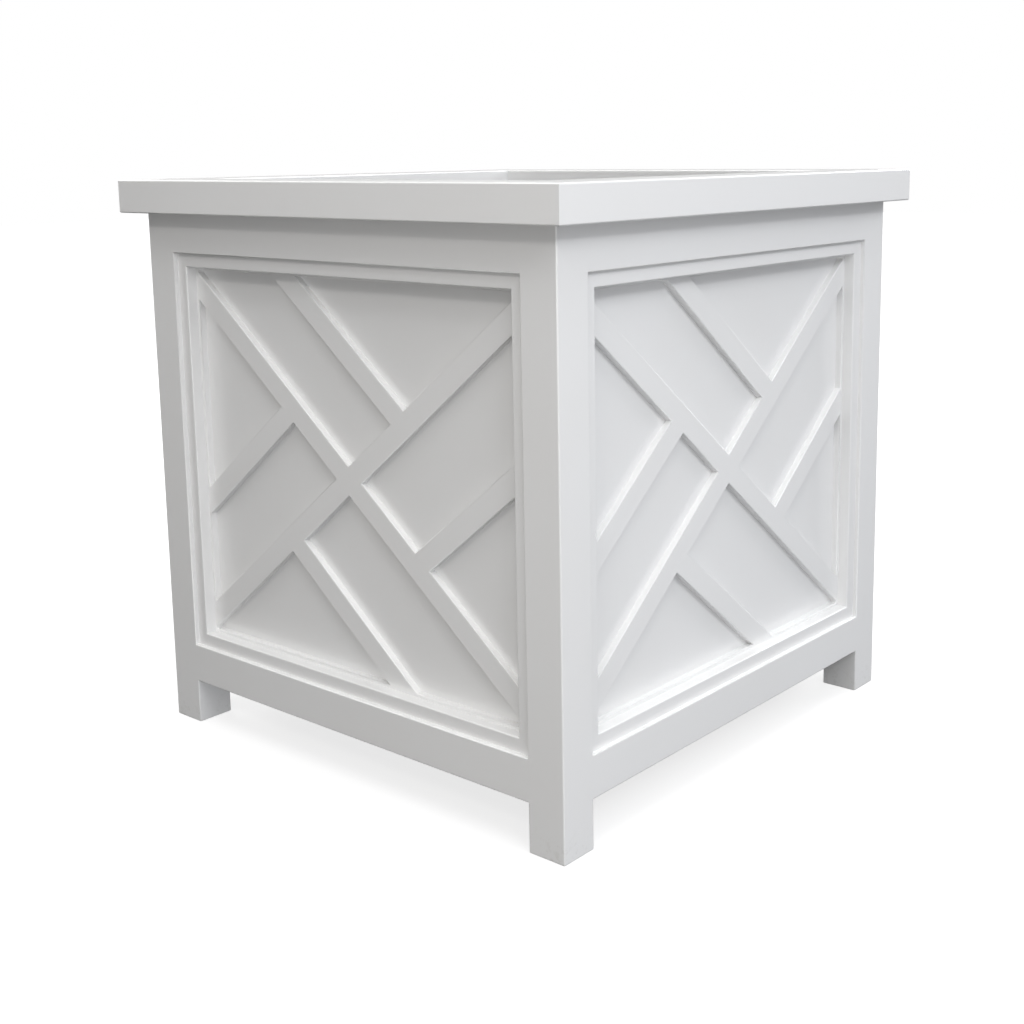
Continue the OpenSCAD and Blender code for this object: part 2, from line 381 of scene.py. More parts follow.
@dataclass(frozen=True)
class MouldedPlastic:
    """Dark moulded plastic of the liner."""

    name: str = "moulded_plastic"
    deep: Colour = (0.022, 0.023, 0.025, 1)
    chalky: Colour = (0.060, 0.062, 0.064, 1)

    def material(self) -> bpy.types.Material:
        """Builds the plastic's node tree.

        Returns:
            The material.
        """
        desk = Desk(bpy.data.materials.new(self.name))
        at = desk.place()
        cloud = desk.noise(at, 9, 4, 0.6)
        pores = desk.noise(at, 620, 3, 0.6)
        drag = desk.noise(desk.place((5, 5, 0.6)), 60, 3, 0.6)
        scratch = drag.clear_of(0.66, 0.72)
        worn = desk.mark(ARRIS) * desk.noise(at, 140, 3, 0.6).clear_of(0.4, 0.65)
        faded = cloud.clear_of(0.35, 0.75) * 0.6 + scratch * 0.25 + worn * 0.5
        colour = desk.blend(faded, self.deep, self.chalky)
        rough = cloud * 0.16 + pores * 0.10 + scratch * 0.1 + 0.36
        skin = desk.bump(pores, 0.5, 0.00006)
        skin = desk.bump(cloud + scratch * 0.2, 0.4, 0.0006, skin)
        return desk.finish(Base_Color=colour, Roughness=rough, Normal=skin, Specular_IOR_Level=0.45)


@dataclass
class PaintShop:
    """The materials, each made once."""

    upright: bpy.types.Material = field(init=False)
    across: bpy.types.Material = field(init=False)
    steel: bpy.types.Material = field(init=False)
    plastic: bpy.types.Material = field(init=False)

    def __post_init__(self) -> None:
        """Makes every material."""
        self.upright = SatinPaint("satin_white_upright", Grain.UPRIGHT).material()
        self.across = SatinPaint("satin_white_across", Grain.ACROSS).material()
        self.steel = PlainSteel().material()
        self.plastic = MouldedPlastic().material()

    def dress(self, obj: bpy.types.Object, finish: bpy.types.Material) -> None:
        """Puts one finish on every slot of an object.

        Args:
            obj: The object.
            finish: The material.
        """
        if not obj.material_slots:
            obj.data.materials.append(finish)
        for place in obj.material_slots:
            place.material = finish

    def dress_board(self, node: str, finish: bpy.types.Material) -> None:
        """Puts a finish on a CAD board that is shown as it is.

        Args:
            node: The CAD node.
            finish: The material.
        """
        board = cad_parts[node]
        self.dress(board, finish)
        log.info("%s: as it is in the CAD", node)


# ---------------------------------------------------------------- mesh craft


Edge = bmesh.types.BMEdge


def keep(obj: bpy.types.Object, body: Body, replaces: Iterable[str]) -> None:
    """Makes a finished piece part of the model.

    Args:
        obj: The piece.
        body: The CAD body that it moves with.
        replaces: The CAD nodes that it stands for.
    """
    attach(obj, body.value)
    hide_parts(*replaces)
    log.info("%s: %d faces, on %s", obj.name, len(obj.data.polygons), body.value)


def applied(obj: bpy.types.Object, name: str) -> bpy.types.Object:
    """Applies an object's modifiers.

    Args:
        obj: The object, which is removed.
        name: The new object's name.

    Returns:
        A new object with a plain mesh, at the origin.
    """
    bpy.context.view_layer.update()
    graph = bpy.context.evaluated_depsgraph_get()
    mesh = bpy.data.meshes.new_from_object(
        obj.evaluated_get(graph), preserve_all_data_layers=True, depsgraph=graph
    )
    mesh.name = name
    bpy.data.objects.remove(obj)
    made = bpy.data.objects.new(name, mesh)
    bpy.context.scene.collection.objects.link(made)
    return made


def weighed(rough: bpy.types.Object, name: str, crease: float = 34) -> bpy.types.Object:
    """Smooth shading that keeps flat faces flat and sharp edges sharp.

    Args:
        rough: The object, which is removed.
        name: The new object's name.
        crease: The angle in degrees past which an edge is sharp.

    Returns:
        The finished object.
    """
    rough.data.shade_smooth()
    rough.data.set_sharp_from_angle(angle=math.radians(crease))
    weigh = rough.modifiers.new("weigh", "WEIGHTED_NORMAL")
    weigh.keep_sharp = True
    weigh.weight = 100
    return applied(rough, name)


@dataclass
class Softener:
    """Copies a CAD part and rounds its exposed arrises.

    A part with curved faces of its own is shaded smooth all over, and a flat-sided one keeps each
    of its faces flat.
    """

    radius: float
    segments: int = 3
    curved: bool = False
    weld: float = 2e-6
    touch: float = 1e-6
    flat: float = math.radians(1)
    sharp: float = math.radians(30)

    def soften(
        self,
        node: str,
        name: str,
        exposed: Callable[[Edge], bool],
        cuts: Iterable[tuple[Vector, Vector]] = (),
    ) -> bpy.types.Object:
        """Makes the softened copy.

        Args:
            node: The CAD node.
            name: The new piece's name.
            exposed: Says whether a convex edge is to be rounded.
            cuts: Planes, each a point and a normal, that split the faces first, so that a
                rounded stretch can end there.

        Returns:
            The new object.
        """
        work = bmesh.new()
        work.from_mesh(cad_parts[node].data)
        bmesh.ops.remove_doubles(work, verts=work.verts, dist=self.weld)
        bmesh.ops.dissolve_limit(work, angle_limit=self.flat, verts=work.verts, edges=work.edges)
        for point, normal in cuts:
            bmesh.ops.bisect_plane(
                work, geom=[*work.verts, *work.edges, *work.faces], dist=self.touch,
                plane_co=point, plane_no=normal,
            )
        chosen = [
            e for e in work.edges
            if e.is_convex and e.calc_face_angle(0) > self.sharp and exposed(e)
        ]
        layer = work.faces.layers.float.new(ARRIS)
        if chosen:
            bevelled = bmesh.ops.bevel(
                work, geom=chosen, offset=self.radius, offset_type="OFFSET", segments=self.segments,
                profile=0.5, affect="EDGES", clamp_overlap=False, loop_slide=False,
            )
            for face in bevelled["faces"]:
                face[layer] = 1.0
        mesh = bpy.data.meshes.new(name)
        work.to_mesh(mesh)
        work.free()
        made = bpy.data.objects.new(name, mesh)
        bpy.context.scene.collection.objects.link(made)
        if self.curved:
            return weighed(made, name)
        self.shade(mesh)
        return made

    @staticmethod
    def shade(mesh: bpy.types.Mesh) -> None:
        """Keeps each flat face flat, so that only the rounded arrises turn from one to the next.

        Args:
            mesh: The softened mesh, whose rounded faces carry the arris mark.
        """
        mesh.shade_smooth()
        beside = math.cos(math.radians(60))
        rounded = [mark.value > 0 for mark in mesh.attributes[ARRIS].data]
        flats: dict[int, list[Vector]] = defaultdict(list)
        turning: dict[int, Vector] = defaultdict(Vector)
        for face in mesh.polygons:
            for corner in face.vertices:
                if rounded[face.index]:
                    turning[corner] += face.normal
                else:
                    flats[corner].append(face.normal.copy())
        normals = []
        for face in mesh.polygons:
            for corner in face.vertices:
                near_by = [n for n in flats[corner] if n.dot(face.normal) > beside]
                if not rounded[face.index]:
                    normals.append(face.normal.copy())
                elif near_by:
                    normals.append(max(near_by, key=face.normal.dot))
                else:
                    normals.append(turning[corner].normalized())
        mesh.normals_split_custom_set(normals)


# ---------------------------------------------------------------- Geometry Nodes


Socket = bpy.types.NodeSocket


class Recipe:
    """A Geometry Nodes tree with named inputs, and the meshes made from it."""

    def __init__(self, name: str, sizes: dict[str, float | int]) -> None:
        """Starts a tree.

        Args:
            name: The tree's name.
            sizes: Its inputs with their defaults, whole numbers for counts.
        """
        self.tree = bpy.data.node_groups.new(name, "GeometryNodeTree")
        self.keys: dict[str, str] = {}
        self.tree.interface.new_socket("Places", in_out="INPUT", socket_type="NodeSocketGeometry")
        for label, value in sizes.items():
            kind = "NodeSocketInt" if isinstance(value, int) else "NodeSocketFloat"
            item = self.tree.interface.new_socket(label, in_out="INPUT", socket_type=kind)
            item.default_value = value
            self.keys[label] = item.identifier
        item = self.tree.interface.new_socket("Finish", in_out="INPUT", socket_type="NodeSocketMaterial")
        self.keys["Finish"] = item.identifier
        self.tree.interface.new_socket("Geometry", in_out="OUTPUT", socket_type="NodeSocketGeometry")
        self.start = self.tree.nodes.new("NodeGroupInput")

    def size(self, label: str) -> Socket:
        """One of the tree's named inputs."""
        return self.start.outputs[label]

    def node(
        self,
        kind: str,
        settings: dict[str, object] | None = None,
        inputs: dict[str | int, object] | None = None,
        output: str | int = 0,
    ) -> Socket:
        """Adds a node.

        Args:
            kind: The node's type.
            settings: Its properties, which are set first.
            inputs: Values or sockets for its inputs, by name or number.
            output: Which of its outputs to return.

        Returns:
            That output.
        """
        made = self.tree.nodes.new(kind)
        for name, value in (settings or {}).items():
            setattr(made, name, value)
        for name, value in (inputs or {}).items():
            if isinstance(value, (list, tuple)) and value and isinstance(value[0], Socket):
                for each in value:
                    self.tree.links.new(each, made.inputs[name])
            elif isinstance(value, Socket):
                self.tree.links.new(value, made.inputs[name])
            else:
                made.inputs[name].default_value = value
        return made.outputs[output]

    def sum(self, operation: str, first: object, second: object = 0.0) -> Socket:
        """One Math node.

        Args:
            operation: Its operation.
            first: Its first value.
            second: Its second value.

        Returns:
            The result.
        """
        return self.node("ShaderNodeMath", {"operation": operation}, {0: first, 1: second})

    def vector(self, x: object = 0.0, y: object = 0.0, z: object = 0.0) -> Socket:
        """A vector from three numbers or sockets."""
        return self.node("ShaderNodeCombineXYZ", None, {"X": x, "Y": y, "Z": z})

    def on_points(self, piece: Socket) -> Socket:
        """Puts a copy of a piece at every point, turned as the point says.

        Args:
            piece: The geometry to repeat.

        Returns:
            The instances.
        """
        points = self.node("GeometryNodeMeshToPoints", None, {"Mesh": self.size("Places")})
        turned = self.node("GeometryNodeInputNamedAttribute", {"data_type": "FLOAT_VECTOR"}, {"Name": "turn"})
        return self.node(
            "GeometryNodeInstanceOnPoints", None, {"Points": points, "Instance": piece, "Rotation": turned}
        )

    def serve(self, geometry: Socket) -> None:
        """Ends the tree.

        Args:
            geometry: What it makes.
        """
        real = self.node("GeometryNodeRealizeInstances", None, {"Geometry": geometry})
        dressed = self.node(
            "GeometryNodeSetMaterial", None, {"Geometry": real, "Material": self.size("Finish")}
        )
        end = self.tree.nodes.new("NodeGroupOutput")
        self.tree.links.new(dressed, end.inputs["Geometry"])

    def make(
        self,
        name: str,
        finish: bpy.types.Material,
        sizes: dict[str, float | int],
        places: Sequence[Matrix],
    ) -> bpy.types.Object:
        """Makes one mesh from the tree.

        Args:
            name: The object's name.
            finish: Its material.
            sizes: The inputs' values.
            places: Where each repeat goes, and how it is turned.

        Returns:
            The new object, with a plain mesh.
        """
        seed = bpy.data.meshes.new(name + "_places")
        seed.from_pydata([place.to_translation() for place in places], [], [])
        carried = seed.attributes.new("turn", "FLOAT_VECTOR", "POINT")
        carried.data.foreach_set("vector", [c for place in places for c in place.to_euler()])
        rough = bpy.data.objects.new(name + "_rough", seed)
        bpy.context.scene.collection.objects.link(rough)
        tool = rough.modifiers.new("recipe", "NODES")
        tool.node_group = self.tree
        for label, value in sizes.items():
            tool[self.keys[label]] = value
        tool[self.keys["Finish"]] = finish
        rough = applied(rough, name + "_shaded")
        return weighed(rough, name)


def screw_recipe() -> Recipe:
    """Pan-head wood screws with a cross recess, a thread and a point, one at each point.

    Returns:
        The tree, whose points carry a turn each.
    """
    r = Recipe(
        "wood_screws",
        {"Shank": 4 * MM, "Length": 38 * MM, "Head": 7.2 * MM, "Head height": 3 * MM, "Pitch": 1.8 * MM},
    )
    head_around, head_rings, shank_around, shank_rings = 20, 6, 12, 96
    dome_power, dome_depth = 3.0, 0.55
    recess_length, recess_width, recess_drop = 0.62, 0.15, -1.05
    thread_start, thread_full, tip_start, tip_width = 0.30, 0.34, 0.86, 0.06
    plain_shank, thread_depth, thread_power = 0.84, 0.28, 0.6
    half_shank = r.sum("MULTIPLY", r.size("Shank"), 0.5)
    half_head = r.sum("MULTIPLY", r.size("Head"), 0.5)
    # The head: a cylinder whose outer rim is drawn in towards its top
    head = r.node(
        "GeometryNodeMeshCylinder", {"fill_type": "NGON"},
        {
            "Vertices": head_around, "Side Segments": head_rings,
            "Radius": half_head, "Depth": r.size("Head height"),
        },
    )
    at = r.node("GeometryNodeInputPosition")
    x, y, z = (
        r.node("ShaderNodeSeparateXYZ", None, {"Vector": at}, output=axis) for axis in range(3)
    )
    share = r.sum("DIVIDE", z, r.size("Head height"))
    up = r.sum("SUBTRACT", 0.5, share)
    fall = r.sum("MULTIPLY", r.sum("POWER", up, dome_power), dome_depth)
    drawn = r.sum("SQRT", r.sum("SUBTRACT", 1.0, fall))
    domed = r.node(
        "GeometryNodeSetPosition", None,
        {"Geometry": head, "Position": r.vector(r.sum("MULTIPLY", x, drawn), r.sum("MULTIPLY", y, drawn), z)},
    )
    lowered = r.node(
        "GeometryNodeTransform", None,
        {"Geometry": domed, "Translation": r.vector(z=r.sum("MULTIPLY", r.size("Head height"), -0.5))},
    )
    # The cross recess, cut into the top of the head
    arm = r.vector(
        r.sum("MULTIPLY", r.size("Head"), recess_length),
        r.sum("MULTIPLY", r.size("Head"), recess_width),
        r.size("Head height"),
    )
    bar = r.node("GeometryNodeMeshCube", None, {"Size": arm})
    cross = r.node(
        "GeometryNodeTransform", None, {"Geometry": bar, "Rotation": (0.0, 0.0, math.pi / 2)}
    )
    both = r.node("GeometryNodeJoinGeometry", None, {"Geometry": [bar, cross]})
    sunk = r.node(
        "GeometryNodeTransform", None,
        {"Geometry": both, "Translation": r.vector(z=r.sum("MULTIPLY", r.size("Head height"), recess_drop))},
    )
    recessed = r.node(
        "GeometryNodeMeshBoolean", {"operation": "DIFFERENCE", "solver": "EXACT"},
        {"Mesh 1": lowered, "Mesh 2": sunk, "Self Intersection": True},
    )
    # The shank: a column whose radius follows the thread and runs out to a point
    shank = r.node(
        "GeometryNodeMeshCylinder", {"fill_type": "NGON"},
        {
            "Vertices": shank_around, "Side Segments": shank_rings,
            "Radius": half_shank, "Depth": r.size("Length"),
        },
    )
    shank = r.node(
        "GeometryNodeTransform", None,
        {"Geometry": shank, "Translation": r.vector(z=r.sum("MULTIPLY", r.size("Length"), 0.5))},
    )
    turn = r.sum("DIVIDE", r.sum("ARCTAN2", y, x), 2 * math.pi)
    climb = r.sum("DIVIDE", z, r.size("Pitch"))
    wave = r.sum("PINGPONG", r.sum("ADD", climb, turn), 0.5)
    groove = r.sum("POWER", r.sum("MULTIPLY", wave, 2.0), thread_power)
    crest = r.sum("SUBTRACT", 1.0, r.sum("MULTIPLY", groove, thread_depth))
    along = r.sum("DIVIDE", z, r.size("Length"))
    threaded = r.node(
        "ShaderNodeMapRange", {"interpolation_type": "LINEAR"},
        {"Value": along, "From Min": thread_start, "From Max": thread_full, "To Min": 0.0, "To Max": 1.0},
    )
    thread = r.node("ShaderNodeMix", {"data_type": "FLOAT"}, {0: threaded, 2: plain_shank, 3: crest})
    tip = r.node(
        "ShaderNodeMapRange", {"interpolation_type": "LINEAR"},
        {"Value": along, "From Min": tip_start, "From Max": 1.0, "To Min": 1.0, "To Max": tip_width},
    )
    girth = r.sum("MULTIPLY", thread, tip)
    drawn_in = r.vector(r.sum("MULTIPLY", x, girth), r.sum("MULTIPLY", y, girth), z)
    pointed = r.node("GeometryNodeSetPosition", None, {"Geometry": shank, "Position": drawn_in})
    whole = r.node("GeometryNodeJoinGeometry", None, {"Geometry": [recessed, pointed]})
    r.serve(r.on_points(whole))
    return r


def moulding_recipe() -> Recipe:
    """A strip with mitred ends and one rounded inner arris, laid at each point.

    Its length runs along X, its width up Y from the outer edge, and its face is at Z = 0.

    Returns:
        The tree, whose points carry a turn each.
    """
    r = Recipe(
        "mitred_moulding", {"Length": 607 * MM, "Width": 18 * MM, "Thickness": 15 * MM, "Radius": 1.5 * MM}
    )
    outline = r.node(
        "GeometryNodeCurvePrimitiveQuadrilateral", {"mode": "RECTANGLE"},
        {"Width": r.size("Width"), "Height": r.size("Thickness")},
    )
    outline = r.node(
        "GeometryNodeTransform", None,
        {
            "Geometry": outline,
            "Translation": r.vector(
                r.sum("MULTIPLY", r.size("Width"), 0.5), r.sum("MULTIPLY", r.size("Thickness"), -0.5)
            ),
        },
    )
    across, deep = (
        r.node(
            "ShaderNodeSeparateXYZ", None, {"Vector": r.node("GeometryNodeInputPosition")}, output=axis
        )
        for axis in (0, 1)
    )
    inner = r.sum("GREATER_THAN", across, r.sum("MULTIPLY", r.size("Width"), 0.5))
    front = r.sum("GREATER_THAN", deep, r.sum("MULTIPLY", r.size("Thickness"), -0.5))
    rounding = r.sum("MULTIPLY", r.sum("MULTIPLY", inner, front), r.size("Radius"))
    rounded = r.node(
        "GeometryNodeFilletCurve", {"mode": "POLY"}, {"Curve": outline, "Count": 5, "Radius": rounding}
    )
    end = r.node("GeometryNodeFillCurve", {"mode": "NGONS"}, {"Curve": rounded})
    body = r.node(
        "GeometryNodeExtrudeMesh", {"mode": "FACES"},
        {"Mesh": end, "Offset": (0.0, 0.0, 1.0), "Offset Scale": r.size("Length"), "Individual": False},
    )
    shut = r.node(
        "GeometryNodeMergeByDistance", None,
        {
            "Geometry": r.node(
                "GeometryNodeJoinGeometry", None,
                {"Geometry": [body, r.node("GeometryNodeFlipFaces", None, {"Mesh": end})]},
            ),
            "Distance": 1e-6,
        },
    )
    v, d, s = (
        r.node(
            "ShaderNodeSeparateXYZ", None, {"Vector": r.node("GeometryNodeInputPosition")}, output=axis
        )
        for axis in range(3)
    )
    centred = r.sum("SUBTRACT", s, r.sum("MULTIPLY", r.size("Length"), 0.5))
    shrink = r.sum("SUBTRACT", 1.0, r.sum("DIVIDE", r.sum("MULTIPLY", v, 2.0), r.size("Length")))
    strip = r.node(
        "GeometryNodeSetPosition", None,
        {"Geometry": shut, "Position": r.vector(r.sum("MULTIPLY", centred, shrink), v, d)},
    )
    r.serve(r.on_points(strip))
    return r


# ---------------------------------------------------------------- where things lie


@dataclass
class SideFrame:
    """One side of the planter: X along it, Y up, Z out of it, from the face of the posts."""

    number: int
    half: float

    def matrix(self) -> Matrix:
        """From the side's frame to the model's."""
        return (
            Matrix.Rotation(self.number * math.pi / 2, 4, "Z")
            @ Matrix.Translation((0, -self.half, 0))
            @ Matrix.Rotation(math.pi / 2, 4, "X")
        )

    def local(self, point: Vector) -> Vector:
        """A point of the model, in the side's frame."""
        return self.matrix().inverted() @ point


@dataclass
class Sizes:
    """The frame's main sizes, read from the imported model."""

    half: float = field(init=False)
    post: float = field(init=False)
    leg: float = field(init=False)
    rail_top: float = field(init=False)
    upper_rail: float = field(init=False)

    def __post_init__(self) -> None:
        """Reads the boxes of a post and two rails."""
        low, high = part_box("post_front_left")
        self.half = -low.x
        self.post = high.x - low.x
        low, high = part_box("bottom_rail_front")
        self.leg, self.rail_top = low.z, high.z
        self.upper_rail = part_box("top_rail_front")[0].z

    @property
    def inner(self) -> float:
        """Half the width of the opening between two posts."""
        return self.half - self.post

    def side(self, number: int) -> SideFrame:
        """One side's frame."""
        return SideFrame(number, self.half)


def near(a: float, b: float, room: float = 2e-5) -> bool:
    """Whether two lengths are the same."""
    return abs(a - b) < room


# ---------------------------------------------------------------- the planter's parts


@dataclass
class Carcass:
    """The four posts and eight rails, jointed, filled and painted as one."""

    sizes: Sizes
    shop: PaintShop
    softener: Softener = field(default_factory=lambda: Softener(1.6 * MM))

    def build(self) -> None:
        """Makes and dresses every post and rail."""
        for corner in ("front_left", "front_right", "back_right", "back_left"):
            self.post(f"post_{corner}")
        for number, side in enumerate(SIDES):
            self.rail(f"bottom_rail_{side}", self.sizes.side(number))
            self.rail(f"top_rail_{side}", self.sizes.side(number))

    def post(self, node: str) -> None:
        """Softens one post where it stands free.

        Args:
            node: The post's CAD node.
        """
        s = self.sizes

        def exposed(edge: Edge) -> bool:
            """The foot's arrises, those beside the openings, and the rim of the sole."""
            a, b = (v.co for v in edge.verts)
            middle = (a + b) / 2
            if near(a.z, 0) and near(b.z, 0):
                return True
            if not (near(a.x, b.x) and near(a.y, b.y)):
                return False
            outside = [near(abs(c), s.half) for c in middle.xy]
            inside = [near(abs(c), s.inner) for c in middle.xy]
            if not all(o or i for o, i in zip(outside, inside)) or all(outside):
                return False
            return middle.z < s.leg or s.rail_top < middle.z < s.upper_rail

        cuts = [(Vector((0, 0, z)), Vector((0, 0, 1))) for z in (s.leg, s.rail_top, s.upper_rail)]
        made = self.softener.soften(node, node + "_painted", exposed, cuts)
        self.shop.dress(made, self.shop.upright)
        keep(made, Body.PLANTER, [node])

    def rail(self, node: str, side: SideFrame) -> None:
        """Softens one rail along its free arrises.

        Args:
            node: The rail's CAD node.
            side: The side that it belongs to.
        """
        s = self.sizes
        free = (s.leg, s.rail_top, s.upper_rail)

        def exposed(edge: Edge) -> bool:
            """The long arrises of the front and back faces, but not those under the cap."""
            a, b = (side.local(v.co) for v in edge.verts)
            long = abs(a.x - b.x) > s.inner
            outer = near(a.z, 0) or near(a.z, -s.post)
            return long and near(a.z, b.z) and outer and any(near(a.y, z) for z in free)

        made = self.softener.soften(node, node + "_painted", exposed)
        self.shop.dress(made, self.shop.across)
        keep(made, Body.PLANTER, [node])


@dataclass
class Mouldings:
    """The mitred strips that step down inside each opening."""

    sizes: Sizes
    shop: PaintShop
    radius: float = 1.8 * MM
    edges: tuple[str, ...] = ("bottom", "right", "top", "left")

    def build(self) -> None:
        """Makes the sixteen strips with one tree."""
        recipe = moulding_recipe()
        for number, side in enumerate(SIDES):
            for turn, edge in enumerate(self.edges):
                self.strip(recipe, self.sizes.side(number), turn, f"moulding_{edge}_{side}")

    def strip(self, recipe: Recipe, side: SideFrame, turn: int, node: str) -> None:
        """Lays one strip.

        Args:
            recipe: The strips' tree.
            side: The side that it belongs to.
            turn: Quarter turns from the bottom edge of the opening.
            node: The CAD node that it stands for.
        """
        s = self.sizes
        low, high = (side.local(p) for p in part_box(node))
        low, high = (Vector(map(f, low, high)) for f in (min, max))
        middle = (s.rail_top + s.upper_rail) / 2
        tall = (s.upper_rail - s.rail_top) / 2
        level = turn % 2 == 0
        length = 2 * (s.inner if level else tall)
        width = high.y - low.y if level else high.x - low.x
        away = tall if level else s.inner
        place = (
            side.matrix()
            @ Matrix.Translation((0, middle, high.z))
            @ Matrix.Rotation(turn * math.pi / 2, 4, "Z")
            @ Matrix.Translation((0, -away, 0))
        )
        made = recipe.make(
            node + "_painted", self.shop.across if level else self.shop.upright,
            {"Length": length, "Width": width, "Thickness": high.z - low.z, "Radius": self.radius},
            [place],
        )
        keep(made, Body.PLANTER, [node])


@dataclass
class Fretwork:
    """The board on each side whose bars cross, and the flat panel behind it."""

    sizes: Sizes
    shop: PaintShop
    softener: Softener = field(default_factory=lambda: Softener(1.3 * MM, 3))

    def build(self) -> None:
        """Makes the four boards and dresses the four panels."""
        for number, name in enumerate(SIDES):
            self.board(f"fretwork_{name}", self.sizes.side(number))
            self.shop.dress_board(f"panel_{name}", self.shop.upright)

    def board(self, node: str, side: SideFrame) -> None:
        """Softens the front arrises of the bars.

        Args:
            node: The board's CAD node.
            side: The side that it belongs to.
        """
        low, high = (side.local(p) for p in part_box(node))
        face = max(low.z, high.z)
        rim_x = max(abs(low.x), abs(high.x))
        rim_y = sorted((low.y, high.y))

        def exposed(edge: Edge) -> bool:
            """Arrises in the board's face, but not its own rim under the mouldings."""
            a, b = (side.local(v.co) for v in edge.verts)
            if not (near(a.z, face) and near(b.z, face)):
                return False
            on_rim = near(abs(a.x), rim_x) and near(a.x, b.x)
            return not (on_rim or any(near(a.y, y) and near(b.y, y) for y in rim_y))

        made = self.softener.soften(node, node + "_painted", exposed)
        self.shop.dress(made, self.shop.upright)
        keep(made, Body.PLANTER, [node])


@dataclass
class Cap:
    """The four mitred boards on top, with their splines and screws."""

    shop: PaintShop

    def build(self) -> None:
        """Shades merged copies of the boards smooth and dresses the splines."""
        plain = Softener(0.0, curved=True)
        for name in SIDES:
            node = f"cap_{name}"
            made = plain.soften(node, node + "_painted", lambda edge: False)
            self.shop.dress(made, self.shop.across)
            keep(made, Body.PLANTER, [node])
        self.shop.dress_board("cap_splines", self.shop.across)


@dataclass
class FloorBoards:
    """The slats that the liner stands on, and the cleats under them."""

    shop: PaintShop
    count: int = 5
    softener: Softener = field(default_factory=lambda: Softener(1.5 * MM, 2))

    def build(self) -> None:
        """Softens the slats and dresses the cleats."""
        for i in range(1, self.count + 1):
            node = f"floor_slat_{i}"
            made = self.softener.soften(node, node + "_painted", self.long_edge)
            self.shop.dress(made, self.shop.across)
            keep(made, Body.PLANTER, [node])
        for name in SIDES:
            self.shop.dress_board(f"cleat_{name}", self.shop.across)

    @staticmethod
    def long_edge(edge: Edge) -> bool:
        """A slat's own arris, and not the rim of a screw hole."""
        return edge.calc_length() > 50 * MM


@dataclass
class Liner:
    """The lift-out liner with its rim and drain holes."""

    shop: PaintShop
    softener: Softener = field(default_factory=lambda: Softener(1.2 * MM, 3, curved=True))

    def build(self) -> None:
        """Softens the liner's rim, foot and drain holes."""
        made = self.softener.soften("liner", "liner_moulded", lambda edge: True)
        self.shop.dress(made, self.shop.plastic)
        keep(made, Body.LINER, ["liner"])


@dataclass
class Screws:
    """Three sets of screws, each one group as in the CAD."""

    sizes: Sizes
    shop: PaintShop
    spacing: float = 200 * MM
    across: tuple[int, ...] = (-1, 0, 1)
    slats: tuple[int, ...] = (1, 2, 3, 4, 5)
    cap_shank: float = 5 * MM
    shank: float = 4 * MM
    cleat_thickness: float = 20 * MM
    cleat_screw_length: float = 38 * MM
    head_height: float = 3 * MM
    head_ratio: float = 1.8
    pitch_ratio: float = 0.45

    def build(self) -> None:
        """Makes the cap's, the cleats' and the floor's screws with one tree."""
        recipe = screw_recipe()
        s = self.sizes
        low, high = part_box("cap_screws")
        depth = s.half + low.y + self.cap_shank * self.head_ratio / 2
        self.group(recipe, "cap_screws", self.cap_shank, high.z - low.z, [
            s.side(n).matrix() @ Matrix.Translation((i * self.spacing, low.z + self.head_height, -depth))
            @ Matrix.Rotation(-math.pi / 2, 4, "X")
            for n in range(4) for i in self.across
        ])
        low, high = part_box("cleat_screws")
        height = (low.z + high.z) / 2
        into = s.post + self.cleat_thickness - self.head_height
        overall = self.cleat_screw_length + self.head_height
        self.group(recipe, "cleat_screws", self.shank, overall, [
            s.side(n).matrix() @ Matrix.Translation((i * self.spacing, height, -into))
            for n in range(4) for i in self.across
        ])
        self.floor(recipe)

    def floor(self, recipe: Recipe) -> None:
        """Two screws in each end of each slat.

        Args:
            recipe: The screws' tree.
        """
        low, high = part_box("floor_screws")
        head = self.shank * self.head_ratio
        seat = high.z - self.head_height
        places = []
        for i in self.slats:
            a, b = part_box(f"floor_slat_{i}")
            quarter = (b.x - a.x) / 4
            for x in (a.x + quarter, b.x - quarter):
                for y in (low.y + head / 2, high.y - head / 2):
                    places.append(Matrix.Translation((x, y, seat)) @ Matrix.Rotation(math.pi, 4, "X"))
        self.group(recipe, "floor_screws", self.shank, high.z - low.z, places)

    def group(
        self, recipe: Recipe, node: str, shank: float, overall: float, places: Sequence[Matrix]
    ) -> None:
        """Makes one set of screws.

        Args:
            recipe: The screws' tree.
            node: The CAD node that the set stands for.
            shank: The shank's diameter.
            overall: The screw's length with its head.
            places: Where each screw's seat lies, with its shank along Z.
        """
        made = recipe.make(
            node + "_steel", self.shop.steel,
            {
                "Shank": shank, "Length": overall - self.head_height, "Head": shank * self.head_ratio,
                "Head height": self.head_height, "Pitch": shank * self.pitch_ratio,
            },
            places,
        )
        keep(made, Body.PLANTER, [node])


# ---------------------------------------------------------------- the studio


@dataclass(frozen=True)
class Lamp:
    """A soft area lamp."""

    name: str
    place: tuple[float, float, float]
    size: tuple[float, float]
    power: float
    colour: tuple[float, float, float] = (1, 1, 1)
    aim: tuple[float, float, float] = (0, 0, 0.4)

    def hang(self) -> None:
        """Adds the lamp to the scene."""
        data = bpy.data.lights.new(self.name, "AREA")
        data.shape = "RECTANGLE"
        data.size, data.size_y = self.size
        data.energy = self.power
        data.color = self.colour
        lamp = bpy.data.objects.new(self.name, data)
        lamp.visible_camera = False
        lamp.location = self.place
        lamp.rotation_euler = (Vector(self.aim) - Vector(self.place)).to_track_quat("-Z", "Y").to_euler()
        bpy.context.scene.collection.objects.link(lamp)


